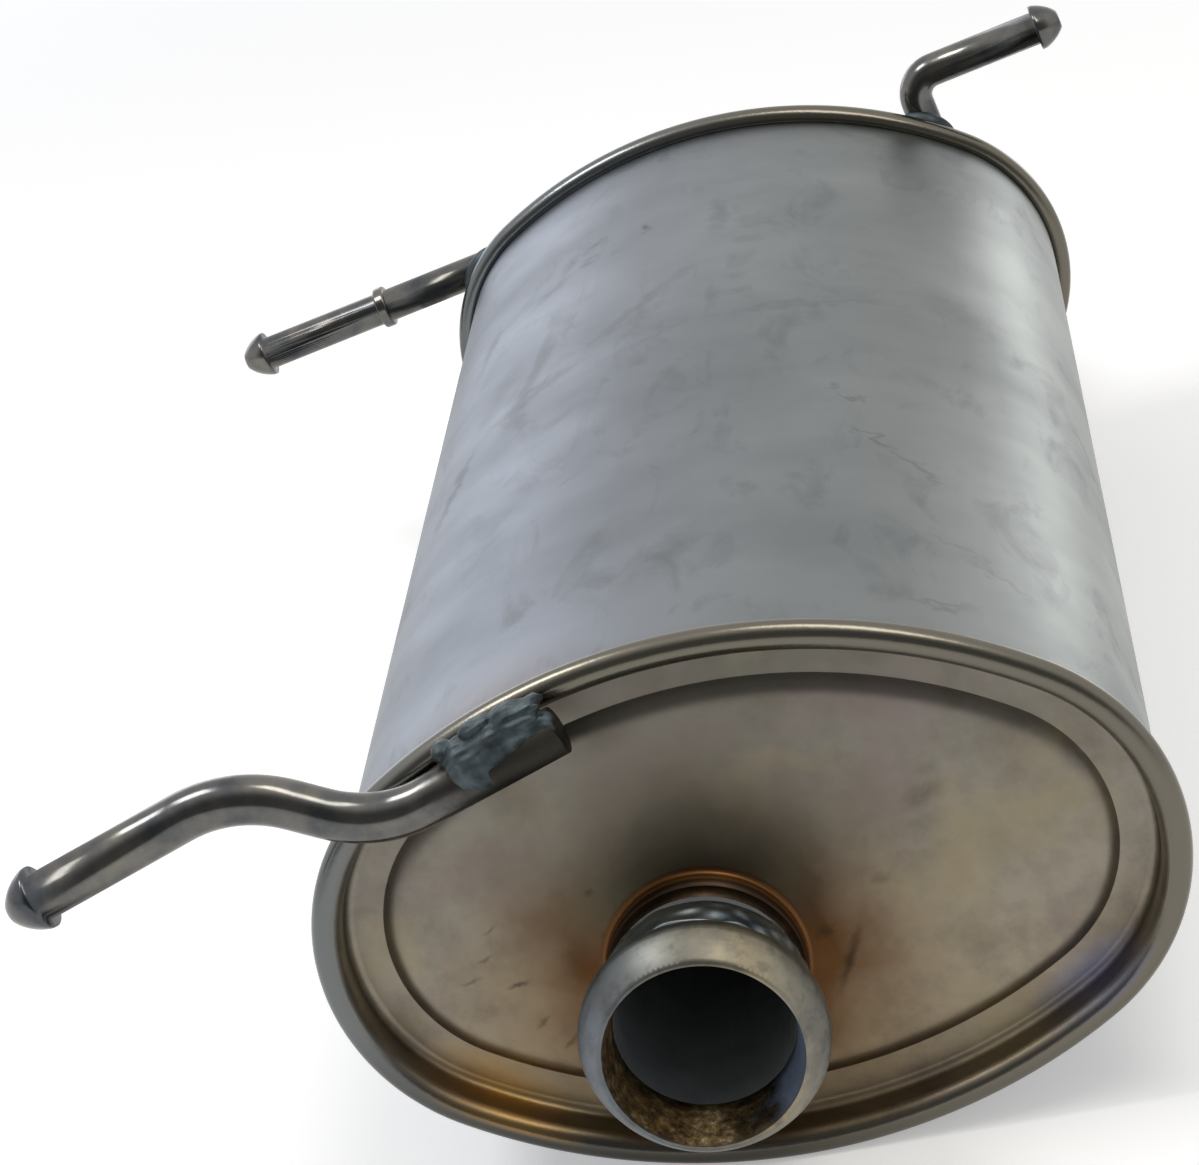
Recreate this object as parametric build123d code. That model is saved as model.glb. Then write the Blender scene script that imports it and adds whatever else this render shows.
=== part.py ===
from build123d import *
import os
from math import acos, atan2, cos, degrees, radians, sin, tan

# Rear muffler of a car exhaust: an oval sheet-steel can closed by two pressed caps, with three pipes
# and three baffles inside, a turned joint ring on the inlet, a short tail pipe and three hanger rods.
#
# Millimetres. +X is to the right seen from the inlet end, +Y runs from the inlet end to the tail, +Z
# is up. The can is laid out about its own axis, with Y = 0 in the middle plane of the front rim's
# roll. At the end every piece moves so that the origin lies on the inlet's axis.
#
# A section in the can's wall is drawn with x = inset from the outer oval and y = place along the can.
# A section round a pipe is drawn with x = radius and y = place along the can.

# The can: an oval of four arcs, measured over the rolled rims
CAN_WIDTH = 229.0
CAN_HEIGHT = 152.5
SIDE_RADIUS = 60.2
CAN_LENGTH = 487.0          # between the middle planes of the two rolls
SHELL_SHEET = 1.2
CAP_SHEET = 1.2
SEAM_CLEARANCE = 0.1        # between the two sheets inside the roll
SHELL_GAP = 1.0             # between the wrapped sheet's two edges, under the can

# The caps: roll, wall, channel, step, and a raised panel in the middle
ROLL_RADIUS = 3.9
CHANNEL_DEPTH = 8.2         # from the roll's middle plane to the channel's floor
CHANNEL_BEND = 3.3
CHANNEL_WIDTH = 7.3         # the floor's flat width
PANEL_DEPTH = 5.6           # from the roll's middle plane to the panel's outer face
STEP_FOOT_BEND = 1.0
STEP_EDGE_BEND = 7.0
STEP_ANGLE = 38.0
COLLAR_BEND = 2.0
COLLAR_LENGTH = 7.6         # from the panel's outer face to the collar's lip
PIPE_CLEARANCE = 0.1        # between a pipe and whatever it passes through

# The pipes, side by side across the can
INLET_RADIUS = 25.0
INLET_WALL = 1.5
OUTLET_RADIUS = 22.5
OUTLET_WALL = 1.5
TRANSFER_RADIUS = 20.0
TRANSFER_WALL = 1.2
PIPE_GAPS = (18.0, 10.3, 13.2, 39.5)    # shell, transfer, inlet, outlet, shell: shares of the free width
INLET_HEIGHT = -0.126                   # of each axis, as a share of the can's height
OUTLET_HEIGHT = -0.0655
TRANSFER_HEIGHT = 0.0525
PIPE_PAST_BAFFLE = 9.0                  # how far a pipe's inner end reaches past its last baffle

# Small holes that let the gas through a pipe's wall into the chamber round it
HOLE_RADIUS = 2.0
HOLES_ROUND = 6
HOLE_ROW_PITCH = 16.0
HOLE_MARGIN = 20.0          # from a baffle to the first row

# The baffles, and the packing between the first two
BAFFLE_SHARES = (0.25, 0.54, 0.83)  # places along the can, as shares of its length
BAFFLE_SHEET = 1.0
BAFFLE_BEND = 3.0
BAFFLE_FLANGE = 11.0
BAFFLE_COLLAR = 5.0
BAFFLE_CLEARANCE = 0.1      # between a baffle's flange and the shell
WOOL_CLEARANCE = 0.3

# The joint ring on the inlet: its mouth is the front end of the whole part
RING_LENGTH = 22.0
RING_STANDOFF = 23.1        # from the roll's middle plane to the ring's back
RING_RADIUS = 32.0
RING_MOUTH_RADIUS = 25.6
RING_LIP = 0.9
RING_TAPER = 12.0           # length of the mouth's inner cone
RING_THROAT = 6.0           # length of the bore in front of the pipe's end
RING_CROWN = 9.5            # from the mouth to the widest circle
RING_LAND = 2.5             # length of the widest part
RING_BACK_RADIUS = 27.2

# The tail pipe, sleeved over the outlet pipe and turned down
TAIL_WALL = 1.5
TAIL_OVERLAP = 14.0
TAIL_STANDOFF = 1.0         # from the rear collar's lip to the tail pipe
TAIL_STRAIGHT = 44.0
TAIL_BEND = 62.0
TAIL_DROP = 35.0            # degrees
TAIL_SPOUT = 26.0

# The hanger rods
FRONT_ROD = 6.5             # radius
REAR_ROD = 6.0              # radius
ROD_SEAT = 0.05             # between a rod and the roll it lies on
REAR_TILT = 11.0            # degrees that both rear rods rise towards +X
FOOT_SEAT = 0.05            # between a rear rod's foot and the panel

FRONT_RIM_ANGLE = 112.6     # where the front rod is welded: heading of the rim's outward normal
FRONT_OFFSET = 7.9          # from the roll's middle line to the rod's axis there
FRONT_FOOT_ANGLE = 19.2     # headings, in degrees up from +X
FRONT_DROP_ANGLE = -27.2
FRONT_ARM_ANGLE = 19.7
FRONT_FOOT_END = 22.0       # from the weld to the cut end
FRONT_FOOT = 31.8           # from the weld to the first bend's corner
FRONT_DROP = 38.3           # between the two corners
FRONT_ARM = 59.2            # from the second corner to the head
FRONT_BENDS = (33.0, 36.0)

LEFT_RIM_ANGLE = 143.2      # where the rear left rod crosses the rim
LEFT_ARM = 89.0             # from the rim to the head
LEFT_COLLAR = 48.0          # from the head to the formed collar
RIGHT_RIM_ANGLE = 62.5      # where the rear right rod crosses the rim
RIGHT_RISE = 18.4           # from the rim to the elbow's corner
RIGHT_ARM = 49.5            # from the elbow's corner to the head
RIGHT_ELBOW = 9.5
FOOT_CROSSING = 7.5         # from the rim to the bend that leads down to the panel
FOOT_SLOPE = 21.0           # length along the rod's heading over which it comes down
FOOT_LENGTH = 12.0          # flat on the panel
FOOT_BEND = 14.0

HEAD_LIP = 2.2              # how far a head's lip stands out from its rod
HEAD_EDGE = 1.2             # length of the lip's straight edge
HEAD_NOSE = 8.0
HEAD_TIP = 0.5              # tip radius over rod radius
COLLAR_RING_LIP = 1.7
COLLAR_RING_LENGTH = 4.0

# The welds
RING_WELD_HEIGHT = 3.0
RING_WELD_LENGTH = 15.0
FILLET_WELD = 3.6           # leg of the small fillet welds round the pipes
SEAM_WELD_WIDTH = 4.6
SEAM_WELD_HEIGHT = 0.9
FRONT_WELD = (              # lumps: place along the rim, place across it, then their three half sizes
    (-1.0, -3.4, 7.8, 8.4, 8.2),
    (7.0, -1.8, 8.5, 7.0, 7.2),
    (13.5, -1.2, 6.0, 6.0, 6.2),
)
CROSS_WELD = (10.5, 6.0, 3.6)   # half length along the rim, half width, half height
FOOT_WELD = (11.0, 9.0, 2.6)    # half length along the rod, half width, half height

# Places that follow from the sizes
half_width = CAN_WIDTH / 2
half_height = CAN_HEIGHT / 2
side_centre = half_width - SIDE_RADIUS
crown_radius = (side_centre ** 2 + half_height ** 2 - SIDE_RADIUS ** 2) / (2 * (half_height - SIDE_RADIUS))
crown_drop = crown_radius - half_height
joint_angle = degrees(atan2(crown_drop, side_centre))

cap_roll = ROLL_RADIUS - CAP_SHEET / 2
shell_roll = ROLL_RADIUS - CAP_SHEET - SEAM_CLEARANCE - SHELL_SHEET / 2
shell_inset = ROLL_RADIUS + shell_roll - SHELL_SHEET / 2
shell_inner = shell_inset + SHELL_SHEET
step_bends = STEP_FOOT_BEND + STEP_EDGE_BEND
step_slope = CHANNEL_DEPTH - PANEL_DEPTH - step_bends * (1 - cos(radians(STEP_ANGLE)))
step_slope = step_slope / sin(radians(STEP_ANGLE))
step_run = step_bends * sin(radians(STEP_ANGLE)) + step_slope * cos(radians(STEP_ANGLE))
panel_inset = ROLL_RADIUS + cap_roll + CHANNEL_BEND + CHANNEL_WIDTH + step_run

collar_lip = PANEL_DEPTH - COLLAR_LENGTH
rear_panel = CAN_LENGTH - PANEL_DEPTH
rear_lip = CAN_LENGTH - collar_lip
ring_back = -RING_STANDOFF
ring_mouth = ring_back - RING_LENGTH
pipe_front = ring_mouth + RING_TAPER + RING_THROAT
inlet_bore = INLET_RADIUS - INLET_WALL
tail_front = rear_lip + TAIL_STANDOFF
outlet_rear = tail_front + TAIL_OVERLAP
tail_bore = OUTLET_RADIUS + PIPE_CLEARANCE
tail_radius = tail_bore + TAIL_WALL

inner_width = CAN_WIDTH - 2 * shell_inner
gap_scale = (inner_width - 2 * (TRANSFER_RADIUS + INLET_RADIUS + OUTLET_RADIUS)) / sum(PIPE_GAPS)
transfer_x = -inner_width / 2 + gap_scale * PIPE_GAPS[0] + TRANSFER_RADIUS
inlet_x = transfer_x + TRANSFER_RADIUS + gap_scale * PIPE_GAPS[1] + INLET_RADIUS
outlet_x = inlet_x + INLET_RADIUS + gap_scale * PIPE_GAPS[2] + OUTLET_RADIUS
inlet_z = INLET_HEIGHT * CAN_HEIGHT
outlet_z = OUTLET_HEIGHT * CAN_HEIGHT
transfer_z = TRANSFER_HEIGHT * CAN_HEIGHT

baffle_places = [share * CAN_LENGTH for share in BAFFLE_SHARES]
front_pipe_end = baffle_places[0] - BAFFLE_BEND - PIPE_PAST_BAFFLE
rear_pipe_end = baffle_places[2] + BAFFLE_COLLAR + PIPE_PAST_BAFFLE

PIPES = {
    "inlet": (inlet_x, inlet_z, INLET_RADIUS),
    "outlet": (outlet_x, outlet_z, OUTLET_RADIUS),
    "transfer": (transfer_x, transfer_z, TRANSFER_RADIUS),
}


def heading(angle):
    """Unit vector in the plane of a cap, angle in degrees up from +X."""
    return Vector(cos(radians(angle)), 0, sin(radians(angle)))


def strip(start, angle, moves, thickness):
    """Section of a bent sheet. Its middle line walks the moves: (length,) or (bend radius, turn)."""
    x, y = start
    sides = {thickness / 2: [], -thickness / 2: []}
    ends = []
    for move in moves:
        a = radians(angle)
        if not ends:
            ends.append(Line(*[(x - s * sin(a), y + s * cos(a)) for s in sides]))
        if len(move) == 1:
            nx, ny = x + move[0] * cos(a), y + move[0] * sin(a)
            for s, edges in sides.items():
                shift = (-s * sin(a), s * cos(a))
                edges.append(Line((x + shift[0], y + shift[1]), (nx + shift[0], ny + shift[1])))
            x, y = nx, ny
        else:
            radius, turn = move
            way = 1 if turn > 0 else -1
            cx, cy = x - way * radius * sin(a), y + way * radius * cos(a)
            for s, edges in sides.items():
                edges.append(CenterArc((cx, cy), radius - way * s, angle - way * 90, turn))
            angle += turn
            a = radians(angle)
            x, y = cx + way * radius * sin(a), cy - way * radius * cos(a)
    a = radians(angle)
    ends.append(Line(*[(x - s * sin(a), y + s * cos(a)) for s in sides]))
    return make_face(sides[thickness / 2] + sides[-thickness / 2] + ends)


def oval_arcs():
    """Centre, radius, first angle and sweep of the outer oval's four arcs."""
    crown_sweep = 180 - 2 * joint_angle
    return [
        ((0, -crown_drop), crown_radius, joint_angle, crown_sweep),
        ((-side_centre, 0), SIDE_RADIUS, 180 - joint_angle, 2 * joint_angle),
        ((0, crown_drop), crown_radius, 180 + joint_angle, crown_sweep),
        ((side_centre, 0), SIDE_RADIUS, -joint_angle, 2 * joint_angle),
    ]


def around(section):
    """Carries a section of the wall round the oval, one turn about each arc's centre."""
    ring = None
    for (cx, cz), radius, first, sweep in oval_arcs():
        out = heading(first)
        plane = Plane(
            origin=Vector(cx, 0, cz) + out * radius,
            x_dir=-out,
            z_dir=(sin(radians(first)), 0, -cos(radians(first))),
        )
        piece = revolve(plane * section, Axis((cx, 0, cz), (0, -1, 0)), sweep)
        ring = piece if ring is None else ring + piece
    return ring


def oval_plate(inset, y_front, y_rear):
    """Solid oval plate between two places along the can."""
    edges = [CenterArc(centre, radius - inset, first, sweep) for centre, radius, first, sweep in oval_arcs()]
    plane = Plane(origin=(0, y_rear, 0), x_dir=(1, 0, 0), z_dir=(0, -1, 0))
    return extrude(plane * make_face(edges), y_rear - y_front)


def rod_along_y(x, z, radius, y_front, y_rear):
    """Solid round bar along the can."""
    plane = Plane(origin=(x, y_rear, z), x_dir=(1, 0, 0), z_dir=(0, -1, 0))
    return extrude(plane * Circle(radius), y_rear - y_front)


def turned(x, z, section):
    """Turns a section about a pipe's axis."""
    return revolve(Pos(x, 0, z) * section, Axis((x, 0, z), (0, 1, 0)))


def collar(x, z, pipe_radius, y_middle, sheet, length, way):
    """Flanged hole in a plate: the sheet bends along the pipe. way is -1 to the front, +1 to the rear."""
    middle = pipe_radius + PIPE_CLEARANCE + sheet / 2
    start = (middle + COLLAR_BEND + sheet, y_middle)
    moves = [(sheet,), (COLLAR_BEND, -90 * way), (length - COLLAR_BEND,)]
    return turned(x, z, strip(start, 180, moves, sheet))


def collar_hole(x, z, pipe_radius, sheet, y_front, y_rear):
    """What a collar replaces of its plate."""
    return rod_along_y(x, z, pipe_radius + PIPE_CLEARANCE + 1.5 * sheet + COLLAR_BEND, y_front, y_rear)


def end_cap(pipe):
    """Front cap, pressed from one sheet. The roll closes round the shell's hooked edge."""
    x, z, radius = PIPES[pipe]
    roll_start = degrees(acos((shell_inset - ROLL_RADIUS - SEAM_CLEARANCE) / ROLL_RADIUS))
    start = (
        ROLL_RADIUS + cap_roll * cos(radians(roll_start)),
        cap_roll * sin(radians(roll_start)),
    )
    floor = CHANNEL_DEPTH + CAP_SHEET / 2
    moves = [
        (cap_roll, 360 - roll_start),
        (floor - CHANNEL_BEND,),
        (CHANNEL_BEND, -90),
        (CHANNEL_WIDTH,),
        (STEP_FOOT_BEND, -STEP_ANGLE),
        (step_slope,),
        (STEP_EDGE_BEND, STEP_ANGLE),
    ]
    rim = around(strip(start, roll_start + 90, moves, CAP_SHEET))
    panel_rear = PANEL_DEPTH + CAP_SHEET
    panel = oval_plate(panel_inset, PANEL_DEPTH, panel_rear)
    panel -= collar_hole(x, z, radius, CAP_SHEET, PANEL_DEPTH, panel_rear)
    neck = collar(x, z, radius, PANEL_DEPTH + CAP_SHEET / 2, CAP_SHEET, COLLAR_LENGTH + CAP_SHEET / 2, -1)
    return rim + panel + neck


def rear_cap():
    """The same pressing turned to face the tail, with its hole at the outlet."""
    return mirror(end_cap("outlet"), Plane(origin=(0, CAN_LENGTH / 2, 0), z_dir=(0, 1, 0)))


def shell():
    """Wrapped sheet. Both edges hook outwards inside the caps' rolls."""
    start = (ROLL_RADIUS - shell_roll, 0)
    moves = [(shell_roll, 180), (CAN_LENGTH,), (shell_roll, 180)]
    tube = around(strip(start, 270, moves, SHELL_SHEET))
    gap = Box(SHELL_GAP, CAN_LENGTH + 4 * ROLL_RADIUS, half_height)
    return tube - Pos(0, CAN_LENGTH / 2, -half_height) * gap


def seam_weld(wrapped):
    """Weld bead that fills the gap between the sheet's edges and stands a little proud."""
    margin = 2 * ROLL_RADIUS
    bottom = -half_height + shell_inset
    plane = Plane(origin=(0, CAN_LENGTH - margin, bottom), x_dir=(1, 0, 0), z_dir=(0, -1, 0))
    bead = extrude(plane * Ellipse(SEAM_WELD_WIDTH / 2, SEAM_WELD_HEIGHT), CAN_LENGTH - 2 * margin)
    filler = Box(SHELL_GAP, CAN_LENGTH - 2 * margin, SHELL_SHEET)
    bead += Pos(0, CAN_LENGTH / 2, bottom + SHELL_SHEET / 2) * filler
    return bead - wrapped


def baffle(place):
    """Pressed plate across the can, its flange seated in the shell, with a collar for each pipe."""
    outer = shell_inner + BAFFLE_CLEARANCE + BAFFLE_SHEET / 2
    moves = [(BAFFLE_FLANGE - BAFFLE_BEND - BAFFLE_SHEET / 2,), (BAFFLE_BEND, 90)]
    start = (outer, place + BAFFLE_FLANGE - BAFFLE_SHEET / 2)
    plate = oval_plate(outer + BAFFLE_BEND, place - BAFFLE_SHEET / 2, place + BAFFLE_SHEET / 2)
    plate += around(strip(start, 270, moves, BAFFLE_SHEET))
    for x, z, radius in PIPES.values():
        plate -= collar_hole(x, z, radius, BAFFLE_SHEET, place - BAFFLE_SHEET, place + BAFFLE_SHEET)
        plate += collar(x, z, radius, place, BAFFLE_SHEET, BAFFLE_COLLAR + BAFFLE_SHEET / 2, 1)
    return plate


def pipe(name, wall, y_front, y_rear):
    x, z, radius = PIPES[name]
    return rod_along_y(x, z, radius, y_front, y_rear) - rod_along_y(x, z, radius - wall, y_front, y_rear)


def small_holes(name, chamber_front, chamber_rear):
    """Rows of small holes across a pipe, every other row turned by half a pitch."""
    x, z, radius = PIPES[name]
    first = chamber_front + HOLE_MARGIN
    rows = int((chamber_rear - HOLE_MARGIN - first) / HOLE_ROW_PITCH) + 1
    pins = []
    for row in range(rows):
        for k in range(HOLES_ROUND // 2):
            angle = (k + 0.5 * (row % 2)) * 360 / HOLES_ROUND
            plane = Plane(origin=(x, first + row * HOLE_ROW_PITCH, z), z_dir=heading(angle))
            pins.append(extrude(plane * Circle(HOLE_RADIUS), radius + HOLE_RADIUS, both=True))
    return pins


def inlet_tube():
    tube = pipe("inlet", INLET_WALL, pipe_front, rear_pipe_end)
    return tube - small_holes("inlet", baffle_places[0], baffle_places[1])


def outlet_tube():
    tube = pipe("outlet", OUTLET_WALL, front_pipe_end, outlet_rear)
    return tube - small_holes("outlet", baffle_places[0], baffle_places[1])


def transfer_tube():
    tube = pipe("transfer", TRANSFER_WALL, front_pipe_end, rear_pipe_end)
    return tube - small_holes("transfer", baffle_places[1], baffle_places[2])


def wool_packing():
    """Glass wool that fills the chamber between the first two baffles, round the three pipes."""
    front = baffle_places[0] + BAFFLE_SHEET / 2 + BAFFLE_COLLAR + WOOL_CLEARANCE
    rear = baffle_places[1] - BAFFLE_SHEET / 2 - WOOL_CLEARANCE
    inset = shell_inner + BAFFLE_CLEARANCE + BAFFLE_SHEET + WOOL_CLEARANCE
    wool = oval_plate(inset, front, rear)
    for x, z, radius in PIPES.values():
        wool -= rod_along_y(x, z, radius + WOOL_CLEARANCE, front, rear)
    return wool


def inlet_ring():
    """Turned ring on the pipe's end: inner cone, throat, socket, and a crowned outer face."""
    socket = INLET_RADIUS + PIPE_CLEARANCE
    crown = ring_mouth + RING_CROWN
    lip_radius = RING_MOUTH_RADIUS + RING_LIP
    arc_middle = (lip_radius + 0.58 * (RING_RADIUS - lip_radius), ring_mouth + 0.48 * RING_CROWN)
    edges = [
        Line((lip_radius, ring_mouth), (RING_MOUTH_RADIUS, ring_mouth)),
        Line((RING_MOUTH_RADIUS, ring_mouth), (inlet_bore, ring_mouth + RING_TAPER)),
        Line((inlet_bore, ring_mouth + RING_TAPER), (inlet_bore, pipe_front)),
        Line((inlet_bore, pipe_front), (socket, pipe_front)),
        Line((socket, pipe_front), (socket, ring_back)),
        Line((socket, ring_back), (RING_BACK_RADIUS, ring_back)),
        Line((RING_BACK_RADIUS, ring_back), (RING_RADIUS, crown + RING_LAND)),
        Line((RING_RADIUS, crown + RING_LAND), (RING_RADIUS, crown)),
        ThreePointArc((RING_RADIUS, crown), arc_middle, (lip_radius, ring_mouth)),
    ]
    return turned(inlet_x, inlet_z, make_face(edges))


def ring_weld():
    """Wide bead laid on the pipe against the ring's back."""
    end = ring_back + RING_WELD_LENGTH
    top = (INLET_RADIUS + RING_WELD_HEIGHT, ring_back + 0.42 * RING_WELD_LENGTH)
    edges = [
        Line((INLET_RADIUS, ring_back), (INLET_RADIUS, end)),
        ThreePointArc((INLET_RADIUS, end), top, (RING_BACK_RADIUS, ring_back)),
        Line((RING_BACK_RADIUS, ring_back), (INLET_RADIUS, ring_back)),
    ]
    return turned(inlet_x, inlet_z, make_face(edges))


def collar_weld():
    """Small fillet weld between the inlet pipe and the lip of the front cap's collar."""
    outer = INLET_RADIUS + PIPE_CLEARANCE + CAP_SHEET
    toe = collar_lip - FILLET_WELD
    belly = ((INLET_RADIUS + outer) / 2 + 0.2, collar_lip - 0.6 * FILLET_WELD)
    edges = [
        Line((INLET_RADIUS, collar_lip), (outer, collar_lip)),
        ThreePointArc((outer, collar_lip), belly, (INLET_RADIUS, toe)),
        Line((INLET_RADIUS, toe), (INLET_RADIUS, collar_lip)),
    ]
    return turned(inlet_x, inlet_z, make_face(edges))


def tail_path():
    """Middle line of the tail pipe: straight back, one bend down, short straight spout."""
    corner = tail_front + TAIL_STRAIGHT
    reach = TAIL_BEND * tan(radians(TAIL_DROP) / 2) + TAIL_SPOUT
    end = (
        outlet_x,
        corner + reach * cos(radians(TAIL_DROP)),
        outlet_z - reach * sin(radians(TAIL_DROP)),
    )
    points = [(outlet_x, tail_front, outlet_z), (outlet_x, corner, outlet_z), end]
    return FilletPolyline(*points, radius=TAIL_BEND)


def tail_pipe():
    path = tail_path()
    start = Plane(origin=path @ 0, z_dir=path % 0)
    return sweep(start * (Circle(tail_radius) - Circle(tail_bore)), path)


def tail_weld():
    """Bead that closes the joint of collar, outlet pipe and tail pipe."""
    collar_outer = OUTLET_RADIUS + PIPE_CLEARANCE + CAP_SHEET
    front = tail_front - TAIL_STANDOFF
    rear = tail_front + FILLET_WELD
    edges = [
        Line((OUTLET_RADIUS, front), (collar_outer, front)),
        ThreePointArc((collar_outer, front), (tail_radius + 1.3, tail_front - 0.4), (tail_radius, rear)),
        Line((tail_radius, rear), (tail_radius, tail_front)),
        Line((tail_radius, tail_front), (OUTLET_RADIUS, tail_front)),
        Line((OUTLET_RADIUS, tail_front), (OUTLET_RADIUS, front)),
    ]
    return turned(outlet_x, outlet_z, make_face(edges))


def bent_rod(points, bends, radius):
    """Round rod along straight runs joined by arcs."""
    path = FilletPolyline(*points, radius=bends)
    return sweep(Plane(origin=path @ 0, z_dir=path % 0) * Circle(radius), path)


def rod_head(end, way, radius):
    """Head formed on a rod's end: a lip with a short edge, then a rounded cone."""
    lip = radius + HEAD_LIP
    tip = radius * HEAD_TIP
    length = HEAD_EDGE + HEAD_NOSE
    shoulder = ((lip + tip) / 2 + 0.6, HEAD_EDGE + HEAD_NOSE / 2 + 0.5)
    edges = [
        Line((0, 0), (lip, 0)),
        Line((lip, 0), (lip, HEAD_EDGE)),
        ThreePointArc((lip, HEAD_EDGE), shoulder, (tip, length)),
        Line((tip, length), (0, length)),
        Line((0, length), (0, 0)),
    ]
    head = revolve(Plane.XZ * make_face(edges), Axis.Z)
    return Plane(origin=end, z_dir=way) * head


def rim_point(angle, y):
    """Point on the middle line of a rim's roll, where the outward normal has this heading, 0 to 180."""
    if angle < joint_angle:
        centre, radius = (side_centre, 0), SIDE_RADIUS
    elif angle > 180 - joint_angle:
        centre, radius = (-side_centre, 0), SIDE_RADIUS
    else:
        centre, radius = (0, -crown_drop), crown_radius
    return Vector(centre[0], y, centre[1]) + heading(angle) * (radius - ROLL_RADIUS)


def front_rod():
    """Rod on the front rim: foot along the rim, a bend down, and an arm to the left with its head."""
    y = -(ROLL_RADIUS + ROD_SEAT + FRONT_ROD)
    weld = rim_point(FRONT_RIM_ANGLE, y) - heading(FRONT_RIM_ANGLE) * FRONT_OFFSET
    foot_end = weld + heading(FRONT_FOOT_ANGLE) * FRONT_FOOT_END
    low = weld - heading(FRONT_FOOT_ANGLE) * FRONT_FOOT
    high = low - heading(FRONT_DROP_ANGLE) * FRONT_DROP
    end = high - heading(FRONT_ARM_ANGLE) * FRONT_ARM
    rod = bent_rod([foot_end, low, high, end], FRONT_BENDS, FRONT_ROD)
    return rod + rod_head(end, -heading(FRONT_ARM_ANGLE), FRONT_ROD)


def filled_roll(middle):
    """The front rim's roll, or the rear one's, as a solid bar."""
    return around(Pos(ROLL_RADIUS, middle) * Circle(ROLL_RADIUS))


def front_rod_weld(rod, cap):
    """Lumps of weld metal that run together from the roll's front over the rod's upper side."""
    middle = rim_point(FRONT_RIM_ANGLE, -ROLL_RADIUS - FRONT_ROD)
    along = heading(FRONT_RIM_ANGLE - 90)
    blob = None
    for shift, drop, *sizes in FRONT_WELD:
        lump = flat_lump(middle + along * shift + heading(FRONT_RIM_ANGLE) * drop, along, tuple(sizes))
        blob = lump if blob is None else blob + lump
    return blob - rod - filled_roll(0) - cap


def rear_foot(crossing, way):
    """Last points of a rear rod: over the rim, down to the panel, and flat along it."""
    panel = rear_panel + FOOT_SEAT + REAR_ROD
    over = crossing + way * FOOT_CROSSING
    down = over + way * FOOT_SLOPE
    down = Vector(down.X, panel, down.Z)
    return [over, down, down + way * FOOT_LENGTH]


def rear_crossing(angle):
    return rim_point(angle, CAN_LENGTH + ROLL_RADIUS + ROD_SEAT + REAR_ROD)


def rear_left_rod():
    """Straight rod across the rear rim, with a head and a formed collar."""
    way = heading(REAR_TILT)
    crossing = rear_crossing(LEFT_RIM_ANGLE)
    end = crossing - way * LEFT_ARM
    rod = bent_rod([end] + rear_foot(crossing, way), (FOOT_BEND, FOOT_BEND), REAR_ROD)
    ring = Cylinder(REAR_ROD + COLLAR_RING_LIP, COLLAR_RING_LENGTH)
    ring = fillet(ring.edges().filter_by(GeomType.CIRCLE), COLLAR_RING_LIP / 2)
    rod += Plane(origin=end + way * LEFT_COLLAR, z_dir=way) * ring
    return rod + rod_head(end, -way, REAR_ROD)


def rear_right_rod():
    """Rod that rises across the rear rim and turns a right angle to the right."""
    way = heading(REAR_TILT)
    down = heading(REAR_TILT - 90)
    crossing = rear_crossing(RIGHT_RIM_ANGLE)
    elbow = crossing - down * RIGHT_RISE
    end = elbow + way * RIGHT_ARM
    rod = bent_rod([end, elbow] + rear_foot(crossing, down), (RIGHT_ELBOW, FOOT_BEND, FOOT_BEND), REAR_ROD)
    return rod + rod_head(end, way, REAR_ROD)


def flat_lump(place, along, sizes):
    """Ellipsoid of weld metal: half length along a heading, half width across it, half height along Y."""
    ball = scale(Sphere(1), by=sizes)
    return Plane(origin=place, x_dir=along, z_dir=(0, 1, 0)) * ball


def crossing_weld(angle, rod, cap):
    """Weld in the corner where a rear rod lies across the roll."""
    place = rim_point(angle, CAN_LENGTH + ROLL_RADIUS)
    return flat_lump(place, heading(angle + 90), CROSS_WELD) - rod - filled_roll(CAN_LENGTH) - cap


def foot_weld(angle, way, rod, cap):
    """Weld round the end of a rear rod's foot, on the panel."""
    run = FOOT_CROSSING + FOOT_SLOPE + FOOT_LENGTH
    place = rim_point(angle, rear_panel) + way * (run - 0.5 * FOOT_WELD[0])
    inside = oval_plate(panel_inset - STEP_EDGE_BEND, rear_panel - FOOT_WELD[2] - CAP_SHEET, rear_panel)
    return flat_lump(place, way, FOOT_WELD) - inside - rod - cap


def build():
    """Every piece by its name, laid out about the can's axis."""
    wrapped = shell()
    front = end_cap("inlet")
    rear = rear_cap()
    rod_front = front_rod()
    rod_left = rear_left_rod()
    rod_right = rear_right_rod()
    return {
        "shell": wrapped,
        "shell_seam_weld": seam_weld(wrapped),
        "front_end_cap": front,
        "rear_end_cap": rear,
        "front_baffle": baffle(baffle_places[0]),
        "middle_baffle": baffle(baffle_places[1]),
        "rear_baffle": baffle(baffle_places[2]),
        "inlet_tube": inlet_tube(),
        "outlet_tube": outlet_tube(),
        "transfer_tube": transfer_tube(),
        "wool_packing": wool_packing(),
        "inlet_ring": inlet_ring(),
        "inlet_ring_weld": ring_weld(),
        "inlet_collar_weld": collar_weld(),
        "tail_pipe": tail_pipe(),
        "tail_pipe_weld": tail_weld(),
        "front_hanger_rod": rod_front,
        "front_hanger_weld": front_rod_weld(rod_front, front),
        "rear_left_hanger_rod": rod_left,
        "rear_left_rim_weld": crossing_weld(LEFT_RIM_ANGLE, rod_left, rear),
        "rear_left_foot_weld": foot_weld(LEFT_RIM_ANGLE, heading(REAR_TILT), rod_left, rear),
        "rear_right_hanger_rod": rod_right,
        "rear_right_rim_weld": crossing_weld(RIGHT_RIM_ANGLE, rod_right, rear),
        "rear_right_foot_weld": foot_weld(RIGHT_RIM_ANGLE, heading(REAR_TILT - 90), rod_right, rear),
    }


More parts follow.
